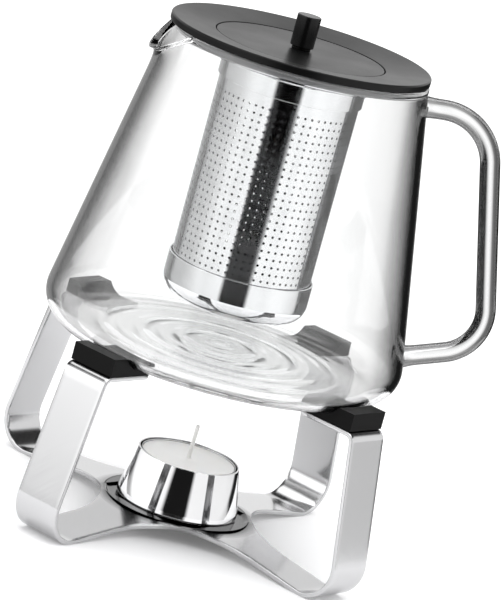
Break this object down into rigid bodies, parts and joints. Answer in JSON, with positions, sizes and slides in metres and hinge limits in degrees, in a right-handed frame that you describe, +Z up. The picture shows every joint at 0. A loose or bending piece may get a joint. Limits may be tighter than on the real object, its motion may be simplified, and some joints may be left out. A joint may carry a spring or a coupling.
{
  "type": "glass teapot with infuser and tealight warmer",
  "caption": "Conical glass jug with bent glass handle, pouring lip, black lid with knob and steel infuser, resting on a bent steel star-shaped warmer with a tealight.",
  "frame": {"origin": "centre of the bounding box, on the surface the warmer stands on; the jug's axis is about 15 mm to the -X side of it", "axes": "+Z up, handle towards +X, spout towards -X, the warmer's four legs on the diagonals"},
  "size_m": [0.1748, 0.1436, 0.2095],
  "materials": {
    "glass": "clear borosilicate",
    "lid_plastic": "satin black",
    "pad_rubber": "black silicone rubber",
    "seal_silicone": "translucent grey silicone",
    "satin_steel": "satin",
    "infuser_steel": "polished",
    "holder_steel": "mirror polished",
    "tealight_aluminium": "thin drawn sheet",
    "candle_wax": "white paraffin wax",
    "wick_cotton": "waxed cotton"
  },
  "bodies": {
    "stand": {"stand_frame": "satin_steel", "support_pad_1": "pad_rubber", "support_pad_2": "pad_rubber", "support_pad_3": "pad_rubber", "support_pad_4": "pad_rubber", "tealight_holder": "holder_steel", "holder_rivet": "satin_steel"},
    "tealight": {"tealight_cup": "tealight_aluminium", "tealight_wax": "candle_wax", "tealight_wick": "wick_cotton", "wick_sustainer": "tealight_aluminium"},
    "pot": {"jug_body": "glass", "jug_handle": "glass"},
    "infuser": {"lid_ring": "lid_plastic", "lid_seal": "seal_silicone", "infuser_collar": "infuser_steel", "infuser_screen": "infuser_steel", "infuser_cup": "infuser_steel"},
    "cover": {"infuser_cover": "lid_plastic", "lid_knob": "lid_plastic", "knob_washer": "pad_rubber", "knob_screw": "satin_steel"}
  },
  "joints": [
    {"name": "tealight_lift", "type": "slide", "parent": "stand", "child": "tealight", "axis": [0, 0, 1], "range_m": [0, 0.022]},
    {"name": "pot_lift", "type": "slide", "parent": "stand", "child": "pot", "axis": [0, 0, 1], "range_m": [0, 0.1]},
    {"name": "infuser_lift", "type": "slide", "parent": "pot", "child": "infuser", "axis": [0, 0, 1], "range_m": [0, 0.115]},
    {"name": "cover_lift", "type": "slide", "parent": "infuser", "child": "cover", "axis": [0, 0, 1], "range_m": [0, 0.03]}
  ]
}
